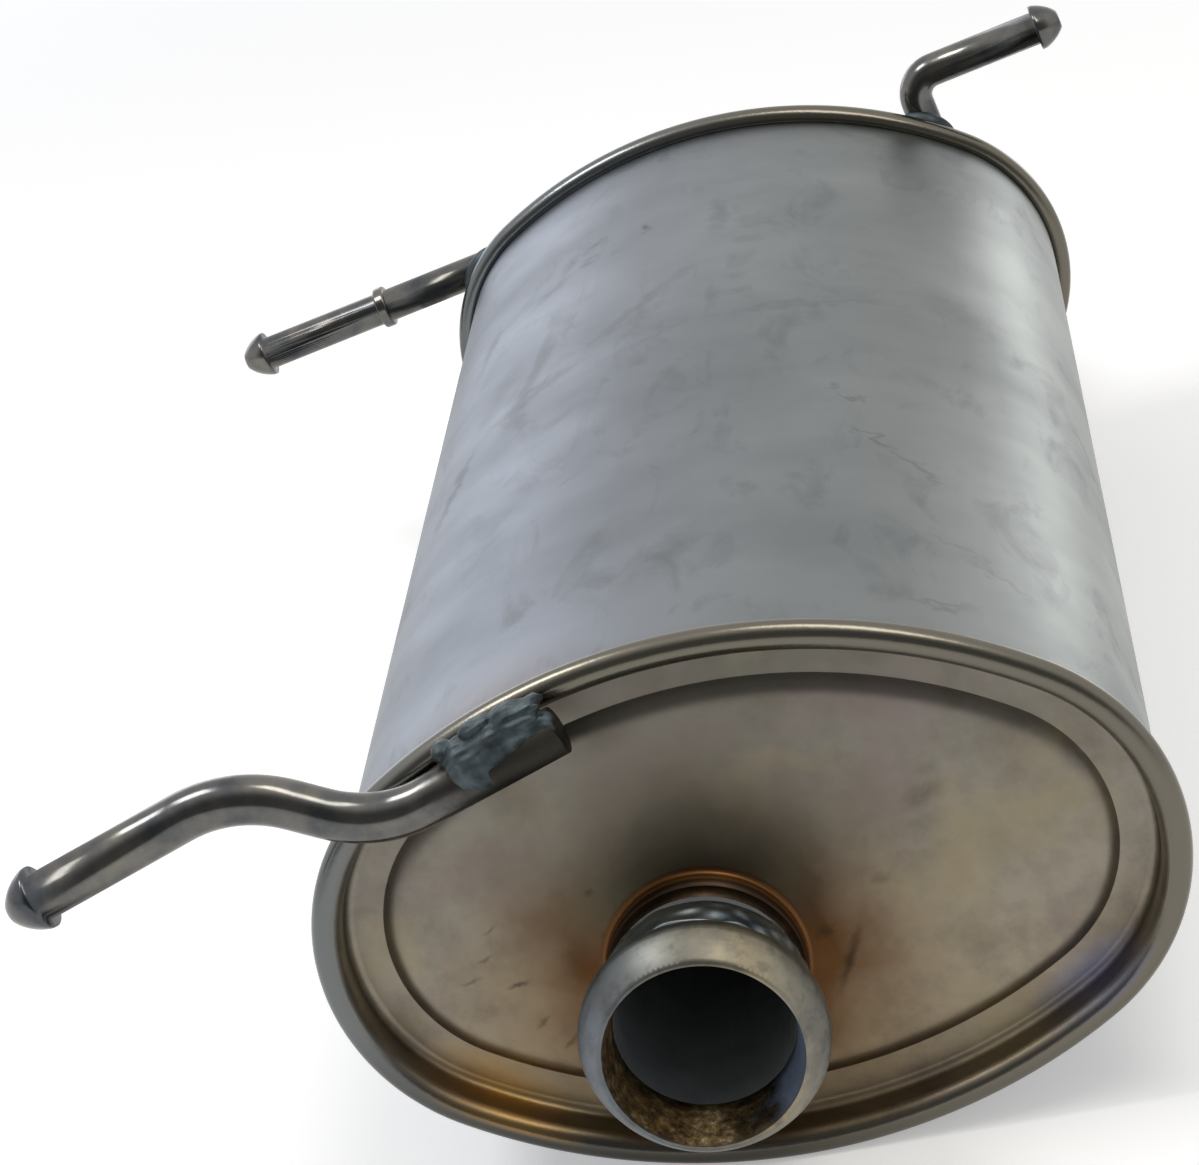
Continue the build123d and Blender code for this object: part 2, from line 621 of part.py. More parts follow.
os.makedirs("parts", exist_ok=True)
for node, piece in build().items():
    export_step(Pos(-inlet_x, 0, -inlet_z) * piece, f"parts/{node}.step")
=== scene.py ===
import math

import bpy
import numpy as np
from mathutils import Matrix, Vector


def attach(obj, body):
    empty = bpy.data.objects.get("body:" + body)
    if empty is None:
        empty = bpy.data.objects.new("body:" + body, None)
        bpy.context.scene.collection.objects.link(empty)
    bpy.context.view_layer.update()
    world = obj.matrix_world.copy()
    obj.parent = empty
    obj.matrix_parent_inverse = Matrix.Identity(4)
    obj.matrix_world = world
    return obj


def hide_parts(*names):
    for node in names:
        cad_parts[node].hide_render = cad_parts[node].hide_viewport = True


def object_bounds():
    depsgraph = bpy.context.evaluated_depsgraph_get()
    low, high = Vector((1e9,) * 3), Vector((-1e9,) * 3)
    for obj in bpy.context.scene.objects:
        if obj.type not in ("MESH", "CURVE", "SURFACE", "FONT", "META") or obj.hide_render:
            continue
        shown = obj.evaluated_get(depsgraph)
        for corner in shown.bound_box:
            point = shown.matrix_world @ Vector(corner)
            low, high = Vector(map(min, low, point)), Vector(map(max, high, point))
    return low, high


# Rear muffler in heat-tinted sheet steel. Sizes are millimetres until a mesh is made. The origin is on
# the inlet's axis, +Y runs from the inlet to the tail and +Z is up.

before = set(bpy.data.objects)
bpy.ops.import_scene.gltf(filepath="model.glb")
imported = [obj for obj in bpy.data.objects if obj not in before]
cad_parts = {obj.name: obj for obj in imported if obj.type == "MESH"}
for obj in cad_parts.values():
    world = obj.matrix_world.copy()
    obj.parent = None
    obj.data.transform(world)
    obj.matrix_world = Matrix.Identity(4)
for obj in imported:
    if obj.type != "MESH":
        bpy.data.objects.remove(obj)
cad_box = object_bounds()

MM = 0.001
CAN_X = 14.7                # the can's axis, seen from the inlet's axis
CAN_Z = 19.215
HALF_WIDTH = 114.5
HALF_HEIGHT = 76.25
SIDE_RADIUS = 60.2
CAN_LENGTH = 487.0
SHEET = 1.2
ROLL_GAP = 0.1              # between the sheets in the roll
ROLL_RADIUS = 3.9
CAP_ROLL = 3.3              # middle radius of the cap's sheet in the roll
SHELL_ROLL = 2.0            # and of the shell's hook inside it
SHELL_INSET = 5.3           # from the roll's outside to the wrapped sheet's outer face
CHANNEL_DEPTH = 8.2         # the channel inside the rim, behind the roll's middle plane
CHANNEL_BEND = 3.3          # middle radius of the bend from the rim's wall into it
CHANNEL_WIDTH = 7.3         # its flat floor
PANEL_DEPTH = 5.6           # the panel's outer face, behind the same plane
STEP_FOOT_BEND = 1.0        # middle radii of the step's two bends, from the channel up to the panel
STEP_EDGE_BEND = 7.0
STEP_ANGLE = 38.0           # its slope in degrees
COLLAR_BEND = 2.0           # middle radius of the bend into the collar
COLLAR_LENGTH = 7.6         # from the panel's outer face to the collar's lip
COLLAR_APRON = 4.0          # flat ring of sheet round the collar's bend
PIPE_CLEARANCE = 0.1        # between collar and pipe
INLET_RADIUS = 25.0
OUTLET_X = CAN_X + 46.0
OUTLET_Z = CAN_Z - 9.99
OUTLET_RADIUS = 22.5
RING_BACK = -23.1           # the joint ring's back face, where its weld starts
RING_WELD_LENGTH = 15.0
RING_WELD_HEIGHT = 2.7
FRONT_WELD_ANGLE = 112.6    # heading of the rim's outward normal at the front hanger's weld
FRONT_WELD_Y = -10.4        # level of the front rod's axis, in front of the rim
FRONT_WELD_SINK = 1.5       # how far the weld's centre lies inside the roll's middle line
FRONT_WELD_RIPPLE = 0.045   # height of its ripples over its reach

# How finely the large pieces are drawn: points round the oval, and rows from one end to the other
CAP_COLUMNS = 480
PANEL_ROWS = 26
SHELL_COLUMNS = 420
SHELL_ROWS = 90

# The caps' inset attribute: on the rim it is the distance in from the oval, which stays below the panel's
# values, on the panel it rises from the first value by the second, and on the collar it is the third
PANEL_MARK = 25.0
PANEL_MARK_RISE = 40.0
COLLAR_MARK = 80.0

side_centre = HALF_WIDTH - SIDE_RADIUS
crown_radius = (side_centre ** 2 + HALF_HEIGHT ** 2 - SIDE_RADIUS ** 2) / (2 * (HALF_HEIGHT - SIDE_RADIUS))
crown_drop = crown_radius - HALF_HEIGHT
joint_angle = math.degrees(math.atan2(crown_drop, side_centre))

# Single marks: x, second coordinate, half length, half width, turn in degrees, strength. The second
# coordinate is y on the shell and z on the caps, counted from the inlet's axis.
SHELL_MARKS = [
    (-11.6, 385.7, 2.0, 5.0, 0, 0.9), (14.5, 377, 4.5, 22, 0, 0.45), (-30, 392, 4.5, 6, 0, 0.5),
    (-32, 377, 4, 5, 0, 0.4), (-40, 386, 3.5, 14, -10, 0.4), (-46, 366, 12, 4, 50, 0.35),
    (-69, 350, 26, 2.5, 83, 0.5), (-11, 299, 40, 4.5, 56, 0.32), (-47, 261, 24, 7, 22, 0.42),
    (-71, 224, 34, 2.5, 79, 0.55), (-60, 284, 6, 30, -12, 0.25), (90, 284, 12, 24, 20, 0.34),
    (57, 184, 6, 2.0, -20, 0.6), (51, 190, 4, 1.6, 60, 0.5), (62, 151, 14, 1.4, -50, 0.5),
    (75, 130, 16, 1.4, -62, 0.45), (76, 31, 13, 3, 6, 0.4), (5, 72, 20, 9, 60, 0.3),
    (92, 60, 16, 1.6, -52, 0.3), (84, 74, 16, 1.6, -50, 0.3), (28, 205, 17, 40, 10, 0.25),
    (46, 272, 40, 3.5, 8, 0.25), (-8, 262, 24, 3.0, 28, 0.2),
]
FRONT_CAP_MARKS = [
    (36.5, -6, 11, 1.7, 64, 0.75), (31.6, 3.2, 3.2, 2.4, 0, 0.6), (48.5, 15.5, 3, 2.2, 0, 0.3),
    (-26, 26, 2.0, 1.2, 20, 0.4), (-24.5, 13.2, 2.2, 1.4, 30, 0.4), (-50, 3.2, 3.6, 1.0, 10, 0.7),
    (-46, -9, 3.2, 0.8, 35, 0.5), (-57, 12, 3.0, 0.7, 20, 0.5), (-62, 6, 4.0, 0.6, 8, 0.4),
    (-54, 20, 3.0, 0.6, 30, 0.4), (-40, -16, 3.6, 0.8, 48, 0.5), (-34, 6, 9, 6, 60, 0.25),
    (64, 37, 8, 3.5, 20, 0.3), (80, 18, 6, 10, 0, 0.15), (-42, 60, 9, 13, 30, 0.25),
    (-14, 68, 14, 5, 20, 0.25),
]
REAR_CAP_MARKS = [(20, 30, 7, 2, 40, 0.5), (-40, 10, 3, 2, 0, 0.4), (95, 30, 3, 2, 0, 0.4)]
ROLL_GOLD_HIGHLIGHT_MARKS = [(-61, -27.5, 24, 9, -41, 0.85)]
ROLL_BLUE_MARKS = [(98, -22, 20, 7, 28, 0.7)]

# Where each rod is burnt by its weld: x, y, z and reach. The front one's place is so far along the rim
# from the weld's middle.
FRONT_HEAT_SHIFT = 12.0
FRONT_HEAT_REACH = 30.0
REAR_LEFT_HEAT = (-104.0, 490.0, 40.0, 8.0)
REAR_RIGHT_HEAT = (62.0, 495.0, 84.0, 9.0)

# The front weld's lobes: place along the rim, outwards and to the front, then three half sizes
FRONT_WELD_LOBES = [
    (-1.5, -3.6, 0.0, 7.4, 8.6, 7.8), (6.0, -1.2, 0.0, 9.0, 6.6, 7.2), (13.0, -0.8, 0.0, 8.4, 6.6, 6.6),
    (-6.0, 3.4, -1.0, 3.0, 2.6, 4.0), (19.5, 2.4, 1.0, 3.2, 2.0, 3.2), (18.5, -3.6, 1.6, 3.6, 2.8, 3.6),
    (15.5, -6.2, 2.0, 3.0, 2.6, 3.2), (5.0, 5.4, 1.0, 4.6, 1.6, 3.4),
]


# Shapes

def mesh_piece(name, grid, material, replaced=(), closed=(False, False), capped=False, inset=None):
    """A grid of points (along, across, xyz) in millimetres becomes a smooth mesh of quads that faces
    outwards. closed says which way the grid joins its own start, and capped closes its first and last
    rows by a small flat face. inset is a number per column, kept as an attribute."""
    along, across = grid.shape[:2]
    i = np.arange(along if closed[0] else along - 1)[:, None]
    j = np.arange(across if closed[1] else across - 1)[None, :]
    i2 = (i + 1) % along
    j2 = (j + 1) % across
    quads = np.stack([i * across + j, i * across + j2, i2 * across + j2, i2 * across + j], -1)
    quads = quads.reshape(-1, 4)
    points = grid.reshape(-1, 3)
    a, b, c, d = (points[quads[:, k]] for k in range(4))
    volume = (np.cross(a, b) * c).sum() + (np.cross(a, c) * d).sum()
    faces = quads.tolist()
    if capped:
        last = (along - 1) * across
        faces += [list(range(across))[::-1], list(range(last, last + across))]
    if volume < 0:
        faces = [face[::-1] for face in faces]
    mesh = bpy.data.meshes.new(name)
    mesh.from_pydata((points * MM).tolist(), [], faces)
    mesh.shade_smooth()
    if inset is not None:
        kept = mesh.attributes.new("inset", "FLOAT", "POINT")
        kept.data.foreach_set("value", np.broadcast_to(inset, (along, across)).ravel().astype(np.float32))
    return finished(bpy.data.objects.new(name, mesh), material, replaced)


def finished(piece, material, replaced):
    """Puts a piece on the part's one body, with its finish and the solid it stands for."""
    if piece.name not in bpy.context.scene.collection.objects:
        bpy.context.scene.collection.objects.link(piece)
    piece.data.materials.clear()
    piece.data.materials.append(material)
    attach(piece, "root")
    if replaced:
        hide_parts(*replaced)
    return piece


def oval(count):
    """Points and outward normals round the outer oval, evenly spaced in each of its four arcs, from the
    bottom round by +X: centre + radius * (cos a, sin a)."""
    arcs = [
        ((0, crown_drop), crown_radius, -90, -joint_angle, 0.17),
        ((side_centre, 0), SIDE_RADIUS, -joint_angle, joint_angle, 0.23),
        ((0, -crown_drop), crown_radius, joint_angle, 180 - joint_angle, 0.34),
        ((-side_centre, 0), SIDE_RADIUS, 180 - joint_angle, 180 + joint_angle, 0.23),
        ((0, crown_drop), crown_radius, 180 + joint_angle, 270, 0.17),
    ]
    points = []
    normals = []
    for centre, radius, first, last, share in arcs:
        a = np.radians(np.linspace(first, last, round(count * share), endpoint=False))
        out = np.stack([np.cos(a), np.sin(a)], -1)
        points.append(np.array(centre) + radius * out)
        normals.append(out)
    return np.concatenate(points) + (CAN_X, CAN_Z), np.concatenate(normals)


def bent_sheet(start, heading, moves, thickness, turn_step=12.0):
    """Both faces of a bent sheet's section. The middle line walks straight moves (length,) and bends
    (radius, turn): a point on a bend is its centre plus the radius turned by the heading."""
    x, y = start
    middle = []
    across = []
    for move in moves:
        if len(move) == 1:
            a = np.radians([heading, heading])
            run = np.array([0.0, move[0]])
            px, py = x + run * np.cos(a), y + run * np.sin(a)
        else:
            radius, turn = move
            way = 1 if turn > 0 else -1
            steps = max(2, int(abs(turn) / turn_step) + 1)
            a = np.radians(np.linspace(heading, heading + turn, steps))
            cx, cy = x - way * radius * np.sin(a[0]), y + way * radius * np.cos(a[0])
            px, py = cx + way * radius * np.sin(a), cy - way * radius * np.cos(a)
            heading += turn
        x, y = px[-1], py[-1]
        skip = 1 if middle else 0
        middle.append(np.stack([px, py], -1)[skip:])
        across.append(np.stack([-np.sin(a), np.cos(a)], -1)[skip:])
    middle, across = np.concatenate(middle), np.concatenate(across)
    return middle + across * thickness / 2, middle - across * thickness / 2


def rim_faces():
    """Both faces of the cap's section from the roll's edge to the panel, as rows of (inset, y)."""
    start_angle = math.degrees(math.acos((SHELL_INSET - ROLL_RADIUS - ROLL_GAP) / ROLL_RADIUS))
    start = (
        ROLL_RADIUS + CAP_ROLL * math.cos(math.radians(start_angle)),
        CAP_ROLL * math.sin(math.radians(start_angle)),
    )
    bends = STEP_FOOT_BEND + STEP_EDGE_BEND
    rise = CHANNEL_DEPTH - PANEL_DEPTH - bends * (1 - math.cos(math.radians(STEP_ANGLE)))
    moves = [
        (CAP_ROLL, 360 - start_angle), (CHANNEL_DEPTH + SHEET / 2 - CHANNEL_BEND,), (CHANNEL_BEND, -90),
        (CHANNEL_WIDTH,), (STEP_FOOT_BEND, -STEP_ANGLE), (rise / math.sin(math.radians(STEP_ANGLE)),),
        (STEP_EDGE_BEND, STEP_ANGLE),
    ]
    return bent_sheet(start, start_angle + 90, moves, SHEET, 9)


def end_cap(name, centre, pipe_radius, tail, material):
    """A pressed cap: roll, wall, channel, step and panel follow the oval, the panel's rows pass over from
    the oval to the circle of the collar, and the collar's rows follow the circle."""
    middle = pipe_radius + PIPE_CLEARANCE + SHEET / 2
    neck_start = (middle + COLLAR_BEND + COLLAR_APRON, PANEL_DEPTH + SHEET / 2)
    neck_moves = [(COLLAR_APRON,), (COLLAR_BEND, 90), (COLLAR_LENGTH + SHEET / 2 - COLLAR_BEND,)]
    neck = bent_sheet(neck_start, 180, neck_moves, SHEET, 9)
    blend = np.linspace(0, 1, PANEL_ROWS)[1:-1]
    points, normals = oval(CAP_COLUMNS)
    rows = []
    insets = []
    for side, face in enumerate(rim_faces()):
        collar = neck[1 - side]
        edge = points - normals * face[-1, 0]
        turn = np.arctan2(edge[:, 1] - centre[1], edge[:, 0] - centre[0])
        out = np.stack([np.cos(turn), np.sin(turn)], -1)[:, None]
        rim = points[:, None] - normals[:, None] * face[None, :, :1]
        circle = np.array(centre) + out * collar[None, :, :1]
        panel = edge[:, None] + (circle[:, :1] - edge[:, None]) * blend[None, :, None]
        flat = np.concatenate([rim, panel, circle], 1)
        depth = np.concatenate([face[:, 1], np.full(len(blend), face[-1, 1]), collar[:, 1]])
        depth = np.broadcast_to(depth, flat.shape[:2])
        panel_mark = PANEL_MARK + PANEL_MARK_RISE * blend
        mark = np.concatenate([face[:, 0], panel_mark, np.full(len(collar), COLLAR_MARK)])
        if side:
            flat, depth, mark = flat[:, ::-1], depth[:, ::-1], mark[::-1]
        rows.append(np.stack([flat[..., 0], depth, flat[..., 1]], -1))
        insets.append(mark)
    grid = np.concatenate(rows, 1)
    if tail:
        grid[..., 1] = CAN_LENGTH - grid[..., 1]
    inset = np.concatenate(insets)
    return mesh_piece(name, grid, material, [name], (True, True), inset=inset)


def shell_piece(material):
    """The wrapped sheet: hooked edge, outer face in short rows, hooked edge, and the plain inner face,
    each row carried round the oval as oval - inset * normal."""
    moves = [(SHELL_ROLL, 180), (CAN_LENGTH,), (SHELL_ROLL, 180)]
    outer, inner = bent_sheet((ROLL_RADIUS - SHELL_ROLL, 0), 270, moves, SHEET, 15)
    half = len(outer) // 2
    fine = np.linspace(outer[half - 1], outer[half], SHELL_ROWS)[1:-1]
    rows = np.concatenate([outer[:half], fine, outer[half:], inner[::-1]])
    points, normals = oval(SHELL_COLUMNS)
    flat = points[:, None, :] - normals[:, None, :] * rows[None, :, :1]
    depth = np.broadcast_to(rows[None, :, 1], flat.shape[:2])
    grid = np.stack([flat[..., 0], depth, flat[..., 1]], -1)
    return mesh_piece("shell_dressed", grid, material, ["shell"], (True, True))


def waves(points, lengths, phases):
    """A smooth unevenness between about -1 and 1: the mean of sines that run in fixed directions, each
    with its own wave length in millimetres."""
    ways = np.array([
        (0.8, 0.3, 0.5), (-0.4, 0.9, 0.2), (0.3, -0.5, 0.8), (-0.7, -0.2, 0.7), (0.1, 0.7, -0.7)])
    run = points @ ways.T
    return np.sin(run * 2 * np.pi / np.array(lengths) + np.array(phases)).mean(-1) * 1.6


def ring_bead(name, radius, height, back, length, material, replaced):
    """A bead laid round the inlet pipe: (x, z) = radius * (cos a, sin a). From the ring's back face
    towards the can the radius follows the later part of half a sine, and ripples 4 to 13 mm long make it
    uneven."""
    a = np.linspace(0, 2 * np.pi, 360, endpoint=False)[:, None]
    t = np.linspace(0, 1, 22)[None, :]
    y = back + length * t + 0 * a
    lift = np.sin(np.pi * np.clip(0.28 + 0.72 * t, 0, 1)) ** 0.8
    place = np.stack([radius * np.cos(a) + 0 * t, y, radius * np.sin(a) + 0 * t], -1)
    bumps = waves(place, (9.0, 5.2, 6.4, 13.0, 3.9), (0.3, 1.9, 4.0, 2.2, 5.1))
    outside = radius + lift * height * (1 + 0.24 * bumps)
    y = y + 0.5 * np.sin(np.pi * t) * waves(place, (15.0, 8.0, 11.0, 6.0, 21.0), (1.0, 0.2, 2.0, 3.0, 4.4))
    outer = np.stack([outside * np.cos(a), y, outside * np.sin(a)], -1)
    inner = np.stack([(radius + 0 * t) * np.cos(a), y, (radius + 0 * t) * np.sin(a)], -1)[:, ::-1]
    grid = np.concatenate([outer, inner], 1)
    return mesh_piece(name, grid, material, replaced, (True, True))


def weld_lump(name, centre, heading, lobes, ripple, material, replaced=()):
    """Weld metal that ran together. From its centre it reaches as far in each direction as the farthest
    of its lobes, which are ellipsoids (place along, out and front, then three half sizes): the power mean
    of their reaches, made uneven by ripples. heading turns it about the can's axis."""
    pole = 0.01                 # angle of the small caps that close it
    polar = np.linspace(pole, np.pi - pole, 90)[:, None]
    turn = np.linspace(0, 2 * np.pi, 140, endpoint=False)[None, :]
    way = np.stack([
        np.cos(polar) + 0 * turn, np.sin(polar) * np.cos(turn), np.sin(polar) * np.sin(turn)], -1)
    power = 9                   # the higher, the sharper the lobes meet
    total = 0
    for *place, length, width, depth in lobes:
        size = np.array([length, width, depth])
        a = ((way / size) ** 2).sum(-1)
        b = (way * np.array(place) / size ** 2).sum(-1)
        c = ((np.array(place) / size) ** 2).sum() - 1
        square = b ** 2 - a * c
        reach = np.where(square > 0, (b + np.sqrt(np.maximum(square, 0))) / a, 0)
        total = total + np.maximum(reach, 0.05) ** power
    reach = total ** (1 / power)
    local = way * reach[..., None]
    uneven = waves(local, (4.4, 6.1, 3.3, 8.0, 2.6), (0.0, 1.3, 2.9, 4.1, 5.5))
    local = local * (1 + ripple * uneven)[..., None]
    h = math.radians(heading)
    along = np.array([math.sin(h), 0, -math.cos(h)])
    out = np.array([math.cos(h), 0, math.sin(h)])
    grid = np.array(centre) + local @ np.array([along, out, (0.0, -1.0, 0.0)])
    return mesh_piece(name, grid, material, replaced, (False, True), capped=True)


def smooth_copy(node, material):
    """A hidden or plain piece keeps its solid's shape: a copy with its points merged and edges above
    30 degrees kept sharp."""
    piece = bpy.data.objects.new(node + "_dressed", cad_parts[node].data.copy())
    bpy.context.scene.collection.objects.link(piece)
    merge = piece.modifiers.new("merge", "WELD")
    merge.merge_threshold = 0.000002
    done = bpy.data.meshes.new_from_object(piece.evaluated_get(bpy.context.evaluated_depsgraph_get()))
    piece.modifiers.clear()
    piece.data = done
    done.shade_smooth()
    done.set_sharp_from_angle(angle=math.radians(30))
    return finished(piece, material, [node])


# Finishes

def colour(text):
    """sRGB hex to linear RGBA."""
    value = np.array([int(text[k:k + 2], 16) for k in (1, 3, 5)]) / 255
    linear = np.where(value <= 0.04045, value / 12.92, ((value + 0.055) / 1.055) ** 2.4)
    return (*linear.tolist(), 1.0)


def add_node(tree, kind, inputs=None, stops=None, **settings):
    """Adds a node with its settings. An input that is a socket is linked, anything else is its value.
    stops are a colour ramp's places and hex colours."""
    made = tree.nodes.new("ShaderNode" + kind)
    for key, value in settings.items():
        setattr(made, key, value)
    for key, value in (inputs or {}).items():
        if isinstance(value, bpy.types.NodeSocket):
            tree.links.new(value, made.inputs[key])
        else:
            made.inputs[key].default_value = value
    if stops:
        ramp = made.color_ramp
        while len(ramp.elements) < len(stops):
            ramp.elements.new(1.0)
        for element, (place, value) in zip(ramp.elements, stops):
            element.position = place
            element.color = colour(value)
    return made


def new_material(name):
    """An empty material with its shader and the object's coordinates."""
    material = bpy.data.materials.new(name)
    material.use_nodes = True
    tree = material.node_tree
    tree.nodes.clear()
    shader = add_node(tree, "BsdfPrincipled")
    add_node(tree, "OutputMaterial", {"Surface": shader.outputs[0]})
    place = add_node(tree, "TexCoord").outputs["Object"]
    return material, tree, shader, place


def marks(tree, place, spots, flat_axis):
    """How strongly single marks cover a place, 0 to 1. Each is an oval patch of (x, second coordinate,
    half length, half width, turn in degrees, strength) in millimetres, seen along the flat axis."""
    endless = 1e6               # a half size that never fades
    total = 0.0
    for x, second, length, width, turn, strength in spots:
        if flat_axis == "Z":
            at, angles, size = (x, second, 0.0), (0.0, 0.0, math.radians(turn)), (length, width, endless)
        else:
            at, angles, size = (x, 0.0, second), (0.0, -math.radians(turn), 0.0), (length, endless, width)
        local = add_node(tree, "Mapping", {
            "Vector": place, "Location": [v * MM for v in at], "Rotation": angles,
            "Scale": [v * MM for v in size]}, vector_type="TEXTURE")
        away = add_node(tree, "VectorMath", {0: local.outputs[0]}, operation="LENGTH")
        patch = add_node(tree, "MapRange", {0: away.outputs["Value"], 1: 0.1, 2: 1.1, 3: strength, 4: 0.0})
        total = add_node(tree, "Math", {0: patch.outputs[0], 1: total}, operation="MAXIMUM").outputs[0]
    return total


def shell_sheet():
    """Aluminised steel sheet, cold rolled and wrapped: satin, a fine grain along the can, cool grey with
    painted light and shade across it, faint smudges and scuffs from handling, and a light brown tint
    beside the front hanger's weld."""
    material, tree, shader, place = new_material("aluminised steel sheet, satin")
    split = add_node(tree, "SeparateXYZ", {0: place})
    # Painted light and shade across the can: lighter at the left, darkest a little right of the middle,
    # lightest on the far right side
    side = add_node(tree, "MapRange", {0: split.outputs[0], 1: -0.08, 2: 0.11})
    base = add_node(tree, "ValToRGB", {0: side.outputs[0]}, stops=[
        (0.0, "#7E838B"), (0.3, "#7B8088"), (0.55, "#7A7E80"), (0.75, "#737776"), (0.9, "#777B79"),
        (1.0, "#939794")])
    # Broad cloudiness about 60 mm across
    cloud = add_node(tree, "TexNoise", {"Vector": place, "Scale": 16.0, "Detail": 3.0, "Roughness": 0.55})
    shade = add_node(tree, "MapRange", {0: cloud.outputs[0], 1: 0.38, 2: 0.68, 3: 0.0, 4: 0.32})
    tone = add_node(tree, "Mix", {
        0: shade.outputs[0], 6: base.outputs[0], 7: colour("#606567")}, data_type="RGBA")
    # Smudges about 18 mm across, longer along the can
    stretched = add_node(tree, "Mapping", {"Vector": place, "Scale": (1.0, 0.4, 1.0)})
    smear = add_node(tree, "TexNoise", {
        "Vector": stretched.outputs[0], "Scale": 55.0, "Detail": 5.0, "Roughness": 0.62, "Distortion": 0.8})
    smudge = add_node(tree, "MapRange", {0: smear.outputs[0], 1: 0.54, 2: 0.7, 3: 0.0, 4: 0.46})
    marked = add_node(tree, "Mix", {
        0: smudge.outputs[0], 6: tone.outputs[2], 7: colour("#505456")}, data_type="RGBA")
    # Single scuffs and scratches, their edges frayed by noise 6 mm across
    fray = add_node(tree, "TexNoise", {"Vector": place, "Scale": 160.0, "Detail": 3.0})
    shift = add_node(tree, "VectorMath", {
        0: fray.outputs[1], 1: (0.009, 0.022, 0.0), 2: (-0.0045, -0.011, 0.0)}, operation="MULTIPLY_ADD")
    frayed = add_node(tree, "VectorMath", {0: place, 1: shift.outputs[0]}, operation="ADD")
    scuffs = marks(tree, frayed.outputs[0], SHELL_MARKS, "Z")
    scuffed = add_node(tree, "Mix", {
        0: scuffs, 6: marked.outputs[2], 7: colour("#3F4245")}, data_type="RGBA")
    near = add_node(tree, "VectorMath", {0: place, 1: (-0.042, 0.012, 0.082)}, operation="DISTANCE")
    bloom = add_node(tree, "MapRange", {0: near.outputs["Value"], 1: 0.004, 2: 0.036, 3: 0.5, 4: 0.0})
    last = add_node(tree, "Mix", {
        0: bloom.outputs[0], 6: scuffed.outputs[2], 7: colour("#7B6C66")}, data_type="RGBA")
    tree.links.new(last.outputs[2], shader.inputs["Base Color"])
    rough = add_node(tree, "MapRange", {0: cloud.outputs[0], 1: 0.3, 2: 0.7, 3: 0.38, 4: 0.5})
    tree.links.new(rough.outputs[0], shader.inputs["Roughness"])
    # Rolling grain, drawn 2 mm wide where the real one is finer
    grain_map = add_node(tree, "Mapping", {"Vector": place, "Scale": (1.0, 0.03, 1.0)})
    grain = add_node(tree, "TexNoise", {"Vector": grain_map.outputs[0], "Scale": 500.0, "Detail": 2.0})
    bump = add_node(tree, "Bump", {"Strength": 0.05, "Distance": 0.0006, "Height": grain.outputs[0]})
    wave = add_node(tree, "Bump", {
        "Strength": 0.16, "Distance": 0.004, "Height": cloud.outputs[0], "Normal": bump.outputs[0]})
    tree.links.new(wave.outputs[0], shader.inputs["Normal"])
    shader.inputs["Metallic"].default_value = 1.0
    return material


